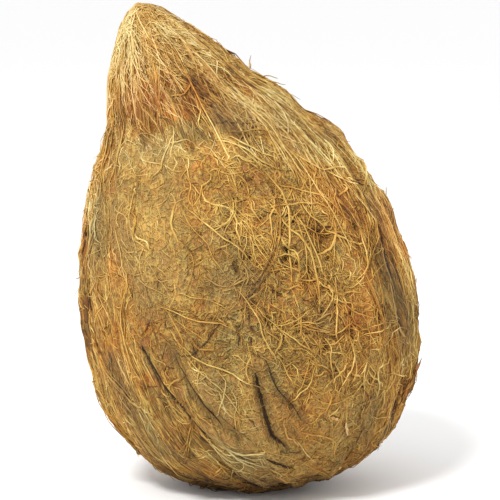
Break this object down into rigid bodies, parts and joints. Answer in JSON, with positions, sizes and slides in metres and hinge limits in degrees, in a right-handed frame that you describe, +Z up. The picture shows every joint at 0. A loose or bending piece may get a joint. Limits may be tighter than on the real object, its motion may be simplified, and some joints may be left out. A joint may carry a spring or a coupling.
{
  "type": "coconut",
  "caption": "Semi-husked coconut: an egg-shaped nut in matted coir fibre, with the stalk-end tuft left on, resting on a small flat spot.",
  "frame": {"origin": "middle of the small flat spot that the coconut rests on", "axes": "+Z up, +X to the right as seen from the front, and -Y the front. The long axis leans 20 degrees from +Z towards -X"},
  "size_m": [0.1091, 0.1072, 0.1534],
  "materials": {
    "coir": "dry matted coir fibre, golden brown, matt"
  },
  "bodies": {
    "root": {"coconut": "coir"}
  },
  "joints": []
}
